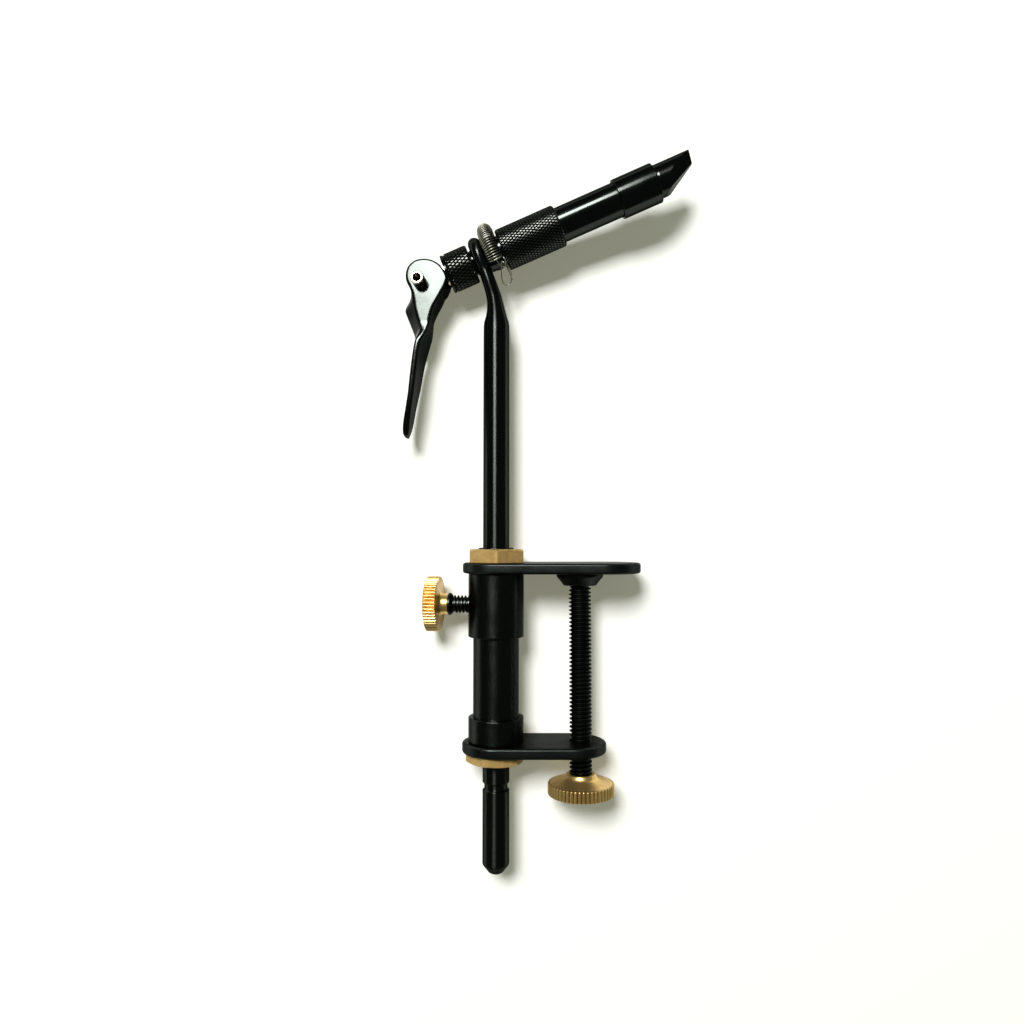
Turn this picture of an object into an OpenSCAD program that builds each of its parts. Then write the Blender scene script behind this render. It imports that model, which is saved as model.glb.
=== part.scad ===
// Fly tying vise on a table clamp: a stem slides in the clamp's column and carries a turning barrel
// whose collet jaws are drawn shut by a cam lever. Millimetres. The origin is on the clamp screw's
// axis, at the underside of the upper plate, where the table top bears. +Z is up and +X points from
// the stem to the clamp screw. The stem stands slightly turned, with the jaws toward -Y.

/* [Clamp] */
// Distance from the clamp screw's axis to the stem's axis
reach = 30; // [28:0.5:33]
// Clear height between the two plates
throat = 59; // [55:0.5:62]
// Thickness of both plates
plate_t = 3.8; // [3.4:0.1:4.2]
// Half width of both plates where the column stands
plate_heel_r = 12; // [11.5:0.1:12.5]
// Half width of the upper plate at its front end
paddle_r = 14; // [13:0.5:15]
// How far the upper plate reaches past the clamp screw's axis
paddle_reach = 21.8; // [20:0.1:24]
// How far the lower plate reaches past the clamp screw's axis
lower_reach = 9; // [8.5:0.1:9.5]
// Radius of the column's upper collar
collar_r = 9.95; // [9.4:0.05:10.2]
// Height of the column's upper collar
collar_h = 22.5; // [21:0.5:24]
// Radius of the column between its collars
waist_r = 8.35; // [7.8:0.05:8.6]
// Radius of the column's lower collar
foot_r = 9.85; // [9.3:0.05:10.1]
// Height of the column's lower collar
foot_h = 8.5; // [8:0.5:10]
// Radius of the threaded spigots at the column's ends
spigot_r = 6.35; // [6.2:0.05:6.4]
// How far the upper spigot stands above the plate's underside
spigot_top = 9.1; // [8.7:0.1:9.4]
// Size across the flats of both brass nuts
nut_af = 19.05; // [18.5:0.05:19.5]
// Thickness of the upper brass nut
top_nut_t = 4.8; // [4.4:0.1:5]
// Thickness of the lower brass nut
bottom_nut_t = 3.3; // [3:0.1:3.8]

/* [Clamp screw] */
// Outer diameter of the clamp screw's thread
clamp_screw_d = 7.94; // [7.8:0.02:8]
// Radius of the pad's face
pad_r = 8.35; // [8:0.05:9]
// Radius of the pad's underside
pad_foot_r = 5.8; // [5.5:0.1:6.2]
// Height of the pad
pad_h = 4.4; // [4:0.1:5]
// Radius of the brass clamp knob
clamp_knob_r = 11.75; // [11:0.05:12.5]
// Height of the clamp knob's knurled rim
clamp_rim_h = 4; // [3.5:0.1:4.5]
// Depth of the clamp knob's underside below the upper plate
clamp_knob_drop = 77.5; // [76:0.5:79]

/* [Lock screw] */
// Outer diameter of the lock screw's thread
lock_screw_d = 6.35; // [6.2:0.01:6.4]
// Depth of the lock screw's axis below the upper plate
lock_drop = 11.1; // [10:0.1:12]
// Radius of the brass lock knob
lock_knob_r = 9.85; // [9.4:0.05:10.2]
// Thickness of the lock knob's knurled rim
lock_rim_t = 4.5; // [4:0.1:4.8]
// Angle between the lock screw and the plates' long axis, seen from above
lock_turn = 6.6; // [0:0.1:12]

/* [Stem] */
// Diameter of the stem rod
stem_d = 9.525; // [9.5:0.005:9.53]
// Length of the stem below the upper plate's underside
stem_drop = 104.7; // [100:0.1:108]
// Length of the cone at the stem's lower end
stem_cone_h = 3.4; // [3:0.1:4]
// Depth of the stop groove's middle below the upper plate's underside
groove_drop = 74.5; // [73:0.1:76]
// Height of the round part of the stem above the upper plate's underside
stem_round_top = 92; // [90:0.5:93]
// Outer radius of the forged eye
eye_r = 8.5; // [8.2:0.05:8.8]
// Thickness of the forged eye
eye_t = 4.8; // [4.6:0.1:4.8]
// Angle that the stem is turned in the clamp's column
swivel = 6; // [0:0.5:12]

/* [Barrel] */
// Angle of the barrel above the horizontal
barrel_tilt = 22.3; // [22:0.1:23]
// Distance from the stem's axis back to the adjuster nut's rear face
barrel_back = 17.4; // [17.2:0.1:17.6]
// Height of the adjuster nut's rear face above the upper plate's underside
barrel_height = 110.3; // [110.1:0.1:110.5]
// Length of the adjuster nut
adjuster_len = 9.2; // [9:0.1:9.3]
// Radius of the adjuster nut
adjuster_r = 7.3; // [7.1:0.05:7.6]
// Radius of the barrel's neck inside the eye
neck_r = 4.95; // [4.9:0.01:4.95]
// Radius of the seat under the material spring
seat_r = 5.8; // [5.7:0.05:5.8]
// Radius of the smooth tube
tube_r = 6.45; // [6.4:0.05:6.5]
// Radius of the knurled grip
grip_r = 7.75; // [7.6:0.05:8]
// Radius of the nose sleeve
nose_r = 7.35; // [7.3:0.05:7.5]
// Radius of the closed jaws
jaw_r = 6.15; // [6.1:0.05:6.15]

/* [Cam] */
// Distance from the lever's pin to the thrust washer with the jaws closed
cam_reach = 10.07; // [10:0.01:10.1]
// How much the cam's reach shrinks for each radian that the lever lifts
cam_lift = 1.07; // [1:0.01:1.1]
// Width of the lever's head along its pin
cam_head_w = 10; // [9.6:0.1:10.4]
// Radius of the lever's hollow pin
cam_pin_r = 2.5; // [2.4:0.05:2.6]

/* [Material spring] */
// Diameter of the material spring's wire
spring_wire_d = 0.6; // [0.55:0.01:0.6]
// Mean radius of one curl
spring_curl_r = 2.62; // [2.58:0.01:2.65]
// Radius of the ring that the curls follow around the barrel
spring_ring_r = 8.8; // [8.8:0.05:8.9]

/* [Hidden] */
$fn = 72;

// Clearances
fit = 0.05;
slip = 0.1;
over = 1;

// Places along the barrel's axis, counted from the adjuster nut's rear face
washer_t = 1;
washer_r = 7.25;
washer_gap = 0.05;
washer_rear = -washer_gap - washer_t;
eye_rear = 10;
eye_front = eye_rear + eye_t;
neck_front = eye_front + slip;
grip_rear = 21;
grip_front = 43.8;
tube_front = 76.1;
nose_rear = 66.75;
nose_front = 81.75;
jaw_front = 96.15;
barrel_rear = 1;
thread_r = 4.75;
pin_place = washer_rear - cam_reach - 0.03;

// Inside the barrel
rod_r = 3.9;
bore_r = 4;
wide_bore_r = 5.2;
wide_bore_rear = 24;
collar_rear = 41;
collet_r = 5.1;
collet_front = 49.7;
jaw_rear = 50;
arm_r = 4.6;
cone_rear = 77.2;
cone_slope = 0.232;
cone_rear_r = 5;
cone_front = cone_rear + (jaw_r - cone_rear_r) / cone_slope;
jaw_gap = 0.02;
key_r = 1;
key_place = 43;
relief_r = 0.9;

// Colours of the finishes
black = "#17191b";
gloss_black = "#101214";
brass = "#c9a24e";
steel = "#b9b6ad";

// Unit vector of a list of three numbers
function unit(v) = v / norm(v);

// Smooth open curve through the points, with the given steps between each two
function smooth(points, steps) = let (last = len(points) - 1) [
    for (i = [0 : last - 1], k = [0 : steps - 1]) let (
        a = points[max(i - 1, 0)],
        b = points[i],
        c = points[i + 1],
        d = points[min(i + 2, last)],
        u = k / steps
    ) 0.5 * (2 * b + (c - a) * u + (2 * a - 5 * b + 4 * c - d) * u * u
             + (3 * b - 3 * c + d - a) * u * u * u),
    points[last]
];

// Rings of a round tube along the path, each ring carried on from the last without a twist
function path_way(path, i) = unit(path[min(i + 1, len(path) - 1)] - path[max(i - 1, 0)]);
function flatten(v, way) = unit(v - (v * way) * way);
function path_sides(path) = let (
    first = path_way(path, 0),
    start = flatten(abs(first[2]) < 0.8 ? [0, 0, 1] : [1, 0, 0], first)
) [for (i = 0, side = start; i < len(path);
        i = i + 1, side = i < len(path) ? flatten(side, path_way(path, i)) : side) side];

module tube(path, wire_r, sides) {
    side = path_sides(path);
    count = len(path);
    points = [for (i = [0 : count - 1]) let (other = cross(path_way(path, i), side[i]))
        for (k = [0 : sides - 1])
            path[i] + wire_r * (cos(360 * k / sides) * side[i] + sin(360 * k / sides) * other)];
    walls = [for (i = [0 : count - 2], k = [0 : sides - 1]) let (
        a = i * sides + k,
        b = i * sides + (k + 1) % sides
    ) each [[a, a + sides, b], [b, a + sides, b + sides]]];
    rear = [for (k = [1 : sides - 2]) [0, k, k + 1]];
    front = [for (k = [1 : sides - 2]) let (o = (count - 1) * sides) [o, o + k + 1, o + k]];
    polyhedron(points, concat(walls, rear, front));
}

// Least distance between two stretches of a path that are not next to each other
function least_gap(path, skip) = min([for (i = [0 : len(path) - 1 - skip])
    min([for (j = [i + skip : len(path) - 1]) norm(path[i] - path[j])])]);

// Flat plate around two circles, with straight sides between them
module two_circle_plate(x1, r1, x2, r2) {
    lean = asin((r2 - r1) / (x2 - x1));
    union() {
        translate([x1, 0, 0]) cylinder(r = r1, h = plate_t);
        translate([x2, 0, 0]) cylinder(r = r2, h = plate_t);
        linear_extrude(plate_t) polygon([
            [x1 - r1 * sin(lean), r1 * cos(lean)], [x2 - r2 * sin(lean), r2 * cos(lean)],
            [x2 - r2 * sin(lean), -r2 * cos(lean)], [x1 - r1 * sin(lean), -r1 * cos(lean)]]);
    }
}

// Rod with a small chamfer at both ends
module chamfered_rod(r, h, c) {
    rotate_extrude() polygon([[0, 0], [r - c, 0], [r, c], [r, h - c], [r - c, h], [0, h]]);
}

// Stands what follows on the stem's axis
module at_stem(z) translate([-reach, 0, z]) children();

// Stands what follows on the stem's axis, turned with the stem
module at_swivel() at_stem(0) rotate([0, 0, -swivel]) children();

// Turns what follows so that its own Z runs outwards along the lock screw's axis
module at_lock() at_stem(-lock_drop) rotate([0, 0, -lock_turn]) rotate([0, -90, 0]) children();

// Turns what follows so that its own Z runs forward along the barrel's axis and its X runs down
module at_barrel(place) {
    at_swivel() translate([-barrel_back, 0, barrel_height]) rotate([0, 90 - barrel_tilt, 0])
        translate([0, 0, place]) children();
}

// Half space beyond a plane, as a large block, for cutting
module beyond(point, way) {
    size = 40;
    translate(point) rotate([0, acos(way[2] / norm(way)), atan2(way[1], way[0])])
        translate([-size / 2, -size / 2, 0]) cube(size);
}

// Turned column with a spigot at each end, bored for the stem and tapped for the lock screw
module clamp_column() {
    c = 0.4;
    low = -throat - plate_t - bottom_nut_t - 0.8;
    color(black) difference() {
        at_stem(0) rotate_extrude() polygon([
            [0, spigot_top], [spigot_r - c, spigot_top], [spigot_r, spigot_top - c], [spigot_r, 0],
            [collar_r - c, 0], [collar_r, -c], [collar_r, -collar_h + c], [collar_r - c, -collar_h],
            [waist_r, -collar_h], [waist_r, -throat + foot_h], [foot_r - c, -throat + foot_h],
            [foot_r, -throat + foot_h - c], [foot_r, -throat + c], [foot_r - c, -throat],
            [spigot_r, -throat], [spigot_r, low + c], [spigot_r - c, low], [0, low]]);
        at_stem(low - over) cylinder(r = stem_d / 2 + fit, h = spigot_top - low + 2 * over);
        at_lock() cylinder(r = lock_screw_d / 2 + fit, h = collar_r + over);
    }
}

// Long plate that lies on the table, with a wide rounded front
module upper_plate() {
    color(black) difference() {
        two_circle_plate(-reach, plate_heel_r, paddle_reach - paddle_r, paddle_r);
        at_stem(-over) cylinder(r = spigot_r + fit, h = plate_t + 2 * over);
    }
}

// Short plate that carries the clamp screw in a tapped hole
module lower_plate() {
    color(black) translate([0, 0, -throat - plate_t]) difference() {
        two_circle_plate(-reach, plate_heel_r, lower_reach - plate_heel_r, plate_heel_r);
        at_stem(-over) cylinder(r = spigot_r + fit, h = plate_t + 2 * over);
        translate([0, 0, -over]) cylinder(r = clamp_screw_d / 2 + fit, h = plate_t + 2 * over);
    }
}

// Thin hexagon nut whose outer face has rounded corners
module hex_nut(thickness) {
    corner_r = nut_af / 2 / cos(30);
    c = 0.7;
    difference() {
        intersection() {
            rotate([0, 0, 30]) cylinder(r = corner_r, h = thickness, $fn = 6);
            rotate_extrude() polygon([[0, 0], [corner_r, 0], [corner_r, thickness - c],
                                      [nut_af / 2 - 0.3, thickness], [0, thickness]]);
        }
        translate([0, 0, -over]) cylinder(r = spigot_r + fit, h = thickness + 2 * over);
    }
}

module top_nut() color(brass) at_stem(plate_t) rotate([0, 0, 2.5]) hex_nut(top_nut_t);

module bottom_nut() color(brass) at_stem(-throat - plate_t) rotate([0, 180, 0])
    rotate([0, 0, 16.5]) hex_nut(bottom_nut_t);

// Lock screw with its plain shoulder, seen from the stem outwards
module lock_screw() {
    tip = stem_d / 2 + 0.03;
    shoulder = 16.1;
    color(black) at_lock() {
        translate([0, 0, tip]) chamfered_rod(lock_screw_d / 2, shoulder - tip, 0.5);
        translate([0, 0, shoulder]) cylinder(r = 3.95, h = 1);
    }
}

module lock_knob() {
    hub_rear = 17.1;
    rim_rear = 20.4;
    c = 0.4;
    color(brass) at_lock() rotate_extrude() polygon([
        [0, hub_rear], [3.5, hub_rear], [3.75, hub_rear + 0.25], [3.75, rim_rear],
        [lock_knob_r - c, rim_rear], [lock_knob_r, rim_rear + c],
        [lock_knob_r, rim_rear + lock_rim_t - c], [lock_knob_r - c, rim_rear + lock_rim_t],
        [0, rim_rear + lock_rim_t]]);
}

// Clamp screw with a neck and a spread head that hold the pad and let it turn
module clamp_screw() {
    color(black) {
        translate([0, 0, -clamp_knob_drop + 0.6])
            chamfered_rod(clamp_screw_d / 2, clamp_knob_drop - 0.6 - pad_h - slip, 0.6);
        translate([0, 0, -pad_h - 0.6]) cylinder(r = 2.5, h = pad_h - 1.2);
        translate([0, 0, -1.9]) cylinder(r1 = 2.5, r2 = 3.7, h = 1.2);
    }
}

module clamp_knob() {
    c = 0.4;
    boss_r = 5.2;
    boss_top = 7.2;
    color(brass) translate([0, 0, -clamp_knob_drop]) difference() {
        rotate_extrude() polygon([
            [0, 0], [clamp_knob_r - c, 0], [clamp_knob_r, c], [clamp_knob_r, clamp_rim_h - c],
            [clamp_knob_r - c, clamp_rim_h], [boss_r + 1.2, clamp_rim_h + 1.1],
            [boss_r, clamp_rim_h + 2], [boss_r, boss_top - 0.3], [boss_r - 0.3, boss_top],
            [0, boss_top]]);
        translate([0, 0, 0.55]) cylinder(r = clamp_screw_d / 2 + 0.02, h = boss_top + over);
    }
}

// Swivelling pad with a recess for the screw's spread head
module clamp_pad() {
    c = 0.8;
    top = -slip;
    color(black) difference() {
        rotate_extrude() polygon([[0, top], [pad_r - 0.3, top], [pad_r, top - 0.3],
            [pad_r, top - c], [pad_foot_r, -pad_h], [0, -pad_h]]);
        translate([0, 0, -pad_h - over]) cylinder(r = 2.5 + fit, h = pad_h + over);
        translate([0, 0, -1.95]) cylinder(r1 = 2.55, r2 = 4.5, h = 1.96);
    }
}

// Slab of the forged neck: its place, width, thickness and lean
module neck_slab(x, z, width, thickness, lean) {
    at_swivel() translate([x, 0, z]) rotate([0, -lean, 0])
        cube([thickness, width, 0.4], center = true);
}

// Stem rod, forged flat at the top and bent into the eye that the barrel turns in
module stem() {
    r = stem_d / 2;
    groove_h = 1.7;
    groove_bevel = 0.55;
    groove_r = r - 0.63;
    groove_low = -groove_drop - groove_h / 2;
    groove_top = -groove_drop + groove_h / 2;
    color(black) difference() {
        union() {
            at_stem(0) rotate_extrude() polygon([
                [0, -stem_drop], [1.2, -stem_drop], [2.6, -stem_drop + 0.7],
                [r, -stem_drop + stem_cone_h], [r, groove_low - groove_bevel],
                [groove_r, groove_low], [groove_r, groove_top], [r, groove_top + groove_bevel],
                [r, stem_round_top], [0, stem_round_top]]);
            hull() {
                at_swivel() translate([0, 0, stem_round_top - 1]) cylinder(r = r, h = 1, $fn = 32);
                neck_slab(-0.15, 97.5, 10.4, 5.8, 9);
            }
            hull() {
                neck_slab(-0.15, 97.5, 10.4, 5.8, 9);
                neck_slab(-1.9, 103, 11.8, 5.1, 19);
            }
            hull() {
                neck_slab(-1.9, 103, 11.8, 5.1, 19);
                at_barrel(eye_rear) translate([5.4, 0, eye_t / 2])
                    cube([0.4, 14.4, eye_t], center = true);
            }
            at_barrel(eye_rear) cylinder(r = eye_r, h = eye_t);
        }
        at_barrel(eye_rear - over) cylinder(r = neck_r + fit, h = eye_t + 2 * over);
    }
}

// One tube: rear thread, neck in the eye, seat for the material spring, and the long front
module barrel() {
    c = 0.4;
    color(gloss_black) at_barrel(0) difference() {
        rotate_extrude() polygon([
            [bore_r, barrel_rear], [thread_r - c, barrel_rear], [thread_r, barrel_rear + c],
            [thread_r, eye_rear], [neck_r, eye_rear], [neck_r, neck_front], [seat_r, neck_front],
            [seat_r, grip_rear], [tube_r, grip_rear], [tube_r, tube_front],
            [wide_bore_r, tube_front], [wide_bore_r, wide_bore_rear], [bore_r, wide_bore_rear]]);
        translate([0, 0, key_place]) rotate([0, 90, 0]) cylinder(r = key_r + 0.02, h = 10);
    }
}

// Knurled sleeve pressed on the barrel
module grip_sleeve() {
    c = 0.5;
    color(black) at_barrel(0) rotate_extrude() polygon([
        [tube_r + 0.02, grip_rear], [grip_r - c, grip_rear], [grip_r, grip_rear + c],
        [grip_r, grip_front - c], [grip_r - c, grip_front], [tube_r + 0.02, grip_front]]);
}

// Sleeve over the barrel's front end, whose inner cone squeezes the jaws
module nose_sleeve() {
    c = 0.5;
    mouth_r = cone_rear_r + fit + cone_slope * (nose_front - cone_rear);
    color(gloss_black) at_barrel(0) rotate_extrude() polygon([
        [tube_r + 0.02, nose_rear], [nose_r - c, nose_rear], [nose_r, nose_rear + c],
        [nose_r, nose_front - c], [nose_r - c, nose_front], [mouth_r, nose_front],
        [cone_rear_r + fit, cone_rear], [wide_bore_r, cone_rear - 0.4], [wide_bore_r, tube_front],
        [tube_r + 0.02, tube_front]]);
}

// Places around the barrel's axis: 0 is on top and 90 is the near side
spring_place = (neck_front + grip_rear) / 2;
spring_start = 114;
spring_sweep = 279;
spring_curls = 27.75;
rings_per_curl = 8;
function around(angle) = [-cos(angle), -sin(angle), 0];
function along(angle) = [sin(angle), -cos(angle), 0];

// The curls run from the near side over the top and down to the far underside
function curl_point(u) = let (
    angle = spring_start - spring_sweep * u,
    phase = 90 + 360 * spring_curls * u
) spring_ring_r * around(angle)
  + spring_curl_r * (cos(phase) * around(angle) + sin(phase) * [0, 0, 1]);

// A hook is a long loop on the way out of a curl: length along the way, half width across it
function hook_points(base, way, across, length, half_w, first_w) = [
    for (p = [[1.3, first_w], [length - half_w, half_w], [length - half_w * 0.3, half_w * 0.72],
              [length, 0], [length - half_w * 0.3, -half_w * 0.72], [length - half_w, -half_w],
              [2.2, -half_w * 0.95]])
        base + p[0] * way + p[1] * across];

spring_end = spring_start - spring_sweep;
near_hook = hook_points(spring_ring_r * around(spring_start), along(spring_start), [0, 0, 1],
                        7.4, 2, 2.4);
far_way = unit(-along(spring_end) + 0.05 * around(spring_end));
far_hook = hook_points(spring_ring_r * around(spring_end), far_way, around(spring_end + 5),
                       9.6, 2.1, 2.4);
curl_rings = round(spring_curls * rings_per_curl);
spring_path = concat(
    [for (i = [len(near_hook) - 1 : -1 : 0]) near_hook[i]],
    [for (i = [0 : curl_rings]) curl_point(i / curl_rings)],
    far_hook);

// Garter spring around its seat, with two linked hooks under the near side
module material_spring() {
    gap = least_gap(spring_path, 3) - spring_wire_d;
    echo(str("material_spring least gap to itself, mm: ", gap));
    color(steel) at_barrel(spring_place) tube(spring_path, spring_wire_d / 2, 6);
}

module adjuster_nut() {
    c = 0.5;
    color(black) at_barrel(0) rotate_extrude() polygon([
        [thread_r + fit, 0], [adjuster_r - c, 0], [adjuster_r, c],
        [adjuster_r, adjuster_len - c], [adjuster_r - c, adjuster_len],
        [thread_r + fit, adjuster_len]]);
}

module thrust_washer() {
    color(black) at_barrel(washer_rear) difference() {
        cylinder(r = washer_r, h = washer_t);
        translate([0, 0, -over]) cylinder(r = rod_r + 0.07, h = washer_t + 2 * over);
    }
}

// Cross hole at the rear end of the collet's slit, on the axis that the jaws spring about
module slit_relief() translate([-10, 0, jaw_rear]) rotate([0, 90, 0]) cylinder(r = relief_r, h = 20);

// Rod that joins the lever's pin to the jaws, with flats for the lever's fork
module draw_rod() {
    tongue_t = 4.8;
    tongue_front = -0.9;
    color(steel) at_barrel(0) difference() {
        rotate_extrude() polygon([
            [0, pin_place - rod_r], [rod_r, pin_place - rod_r], [rod_r, collar_rear],
            [collet_r, collar_rear], [collet_r, collet_front], [0, collet_front]]);
        for (side = [-1, 1])
            translate([-10, side * (tongue_t / 2 + 5) - 5, pin_place - 10])
                cube([20, 10, tongue_front - pin_place + 10]);
        difference() {
            translate([-10, -10, pin_place - 10]) cube([20, 20, 10]);
            translate([0, 0, pin_place]) rotate([90, 0, 0])
                cylinder(r = rod_r, h = 24, center = true);
        }
        translate([0, 0, pin_place]) rotate([90, 0, 0])
            cylinder(r = cam_pin_r + 0.02, h = 24, center = true);
        translate([2.9, -key_r - fit, collar_rear - over])
            cube([4, 2 * (key_r + fit), 3.3 + over]);
        slit_relief();
    }
}

// Compression spring inside the barrel that pushes the collet forward
module return_spring() {
    curls = 8;
    wire_r = 0.35;
    low = wide_bore_rear + 0.1 + wire_r;
    high = collar_rear - 0.1 - wire_r;
    color(steel) at_barrel(0) tube([for (i = [0 : curls * 8]) let (
        turn = 45 * i,
        u = i / (curls * 8)
    ) [4.55 * cos(turn), 4.55 * sin(turn), low + (high - low) * u]], wire_r, 6);
}

// Pin through the barrel's wall that keeps the collet from turning
module key_pin() {
    color(steel) at_barrel(key_place) rotate([0, 90, 0]) translate([0, 0, 3.2])
        cylinder(r = key_r, h = tube_r - 3.25);
}

// One jaw: side is -1 for the near one and 1 for the far one
module jaw(side) {
    under_cut = [5.52, 0, 84.7];
    under_way = [0.868, 0, 0.497];
    cheek_cut = [0, 0, 96.05];
    cheek_way = [1.029, side * 1.384, 1];
    color(gloss_black) at_barrel(0) difference() {
        rotate_extrude() polygon([
            [0, jaw_rear], [arm_r, jaw_rear], [arm_r, cone_rear], [cone_rear_r, cone_rear],
            [jaw_r, cone_front], [jaw_r, jaw_front], [0, jaw_front]]);
        translate([-10, side > 0 ? jaw_gap - 20 : -jaw_gap, jaw_rear - over])
            cube([20, 20, jaw_front - jaw_rear + 2 * over]);
        slit_relief();
        beyond(under_cut, under_way);
        beyond(cheek_cut, cheek_way);
    }
}

module near_jaw() jaw(-1);

module far_jaw() jaw(1);

// Cam edge of the lever's head: its reach falls evenly with the angle, so the collet follows evenly
function cam_point(angle) = let (
    reach_here = cam_reach - cam_lift * (angle - barrel_tilt) * PI / 180
) reach_here * [cos(angle), sin(angle)] - cam_lift * [-sin(angle), cos(angle)];
cam_edge = [for (angle = [10 : 3 : 115]) cam_point(angle)];
head_low = 9.6;
head_back = smooth([cam_point(115), [-4.6, 6.0], [-5.45, 3.2], [-5.2, 0.6], [-4.1, -1.9],
                    [-3.4, -4.2], [-4, -6.4], [-6.1, -head_low]], 4);
head_front = smooth([[5.2, -head_low], [7.2, -6.6], [9.1, -3.9], [10.1, -1.5], cam_point(10)], 4);

// Arm of the lever, by drop below the pin: sideways place, half width, half thickness, twist
arm_place = [[7, -0.1], [9, -0.7], [18, -0.5], [25, -0.9], [32, -2], [40, -3.4], [48, -4.7],
             [53, -5.4], [56, -5.8]];
arm_half_w = [[7, 5.6], [9, 6.5], [12, 6.3], [25, 6.5], [44, 6.4], [50, 5.7], [53, 4.6],
              [55, 2.8], [56, 1]];
arm_half_t = [[7, 2.6], [12, 1.8], [18, 1.45], [25, 1.25], [53, 1], [56, 0.6]];
arm_twist = [[7, 0], [9, 12], [12, 40], [15, 63], [18, 82], [21, 95], [25, 100], [40, 97],
             [56, 93]];
arm_drops = concat([for (d = [7 : 1.5 : 25]) d], [for (d = [28 : 4 : 48]) d], [51, 53, 54.5, 55.7]);
section = [[1, 0.4], [0.88, 1], [-0.88, 1], [-1, 0.4], [-1, -0.4], [-0.88, -1], [0.88, -1],
           [1, -0.4]];

module lever_arm() {
    sides = len(section);
    count = len(arm_drops);
    points = [for (d = arm_drops, s = section) let (
        across = s[0] * lookup(d, arm_half_w),
        through = s[1] * lookup(d, arm_half_t),
        twist = lookup(d, arm_twist)
    ) [lookup(d, arm_place) + across * cos(twist) + through * sin(twist),
       through * cos(twist) - across * sin(twist), -d]];
    walls = [for (i = [0 : count - 2], k = [0 : sides - 1]) let (
        a = i * sides + k,
        b = i * sides + (k + 1) % sides
    ) each [[a, b, a + sides], [b, b + sides, a + sides]]];
    top = [for (k = [1 : sides - 2]) [0, k + 1, k]];
    tip = [for (k = [1 : sides - 2]) let (o = (count - 1) * sides) [o, o + k, o + k + 1]];
    polyhedron(points, concat(walls, top, tip));
}

// Space that the draw rod's tongue takes in the head as the lever lifts
module tongue_space() {
    lift = 80;
    half = rod_r + 0.2;
    circle(half + 0.1);
    rotate(barrel_tilt) translate([0, -half]) square([20, 2 * half]);
    rotate(barrel_tilt + lift) translate([0, -half]) square([20, 2 * half]);
    polygon([[0, 0], 20 * [cos(barrel_tilt), sin(barrel_tilt)],
             28 * [cos(barrel_tilt + lift / 2), sin(barrel_tilt + lift / 2)],
             20 * [cos(barrel_tilt + lift), sin(barrel_tilt + lift)]]);
}

// Forked cam head on a twisted arm that ends as a thumb blade
module cam_lever() {
    half = cam_head_w / 2;
    pin_x = -barrel_back + pin_place * cos(barrel_tilt);
    pin_z = barrel_height + pin_place * sin(barrel_tilt);
    color(gloss_black) at_swivel() translate([pin_x, 0, pin_z]) {
        difference() {
            intersection() {
                rotate([90, 0, 0]) linear_extrude(cam_head_w, center = true)
                    polygon(concat(cam_edge, head_back, head_front));
                rotate([90, 0, 90]) linear_extrude(40, center = true) polygon([
                    [-half, 20], [half, 20], [half, -4.2], [1.3, -head_low - 0.1],
                    [-1.3, -head_low - 0.1], [-half, -4.2]]);
            }
            rotate([90, 0, 0]) linear_extrude(5, center = true) tongue_space();
            rotate([90, 0, 0]) cylinder(r = cam_pin_r + fit, h = 24, center = true);
        }
        lever_arm();
    }
}

// Hollow pin that stands out on the near side
module cam_pin() {
    near = 10.2;
    far = 5.6;
    color(steel) at_barrel(pin_place) translate([0, -near, 0]) rotate([-90, 0, 0]) difference() {
        chamfered_rod(cam_pin_r, near + far, 0.3);
        translate([0, 0, -over]) cylinder(r = 1.3, h = near + far + 2 * over);
    }
}

clamp_column();
upper_plate();
lower_plate();
top_nut();
bottom_nut();
lock_screw();
lock_knob();
clamp_screw();
clamp_knob();
clamp_pad();
stem();
barrel();
grip_sleeve();
nose_sleeve();
material_spring();
adjuster_nut();
thrust_washer();
draw_rod();
return_spring();
key_pin();
near_jaw();
far_jaw();
cam_lever();
cam_pin();
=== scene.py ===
"""Surfaces, finishes and stage of a fly tying vise, built around its fixed frame."""

from functools import cache
from math import asin, ceil, cos, degrees, pi, radians, sin, tau

import bmesh
import bpy
import numpy as np
from mathutils import Matrix, Vector


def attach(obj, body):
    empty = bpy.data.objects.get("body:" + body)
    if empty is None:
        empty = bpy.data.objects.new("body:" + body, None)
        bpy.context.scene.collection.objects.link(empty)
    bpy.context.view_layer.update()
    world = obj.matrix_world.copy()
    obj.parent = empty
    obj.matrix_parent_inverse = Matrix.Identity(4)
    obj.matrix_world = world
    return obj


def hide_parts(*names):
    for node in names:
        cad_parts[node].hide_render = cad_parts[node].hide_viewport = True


bl_info = {
    "name": "Fly Tying Vise",
    "version": (1, 0),
    "blender": (4, 5),
    "location": "3D View > Sidebar > Vise",
    "description": "Builds the pieces, finishes and stage of a lever cam fly tying vise",
    "category": "Add Mesh",
}

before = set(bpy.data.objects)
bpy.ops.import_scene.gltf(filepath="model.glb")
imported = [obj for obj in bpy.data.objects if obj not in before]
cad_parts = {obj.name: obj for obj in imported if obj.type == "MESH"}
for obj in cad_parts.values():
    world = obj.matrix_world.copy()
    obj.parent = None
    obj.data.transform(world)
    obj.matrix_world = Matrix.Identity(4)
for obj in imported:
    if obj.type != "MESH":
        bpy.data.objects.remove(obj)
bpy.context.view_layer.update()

# Sizes here are millimetres in the part's own frame, and meshes are written in metres
MM = 0.001

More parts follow.
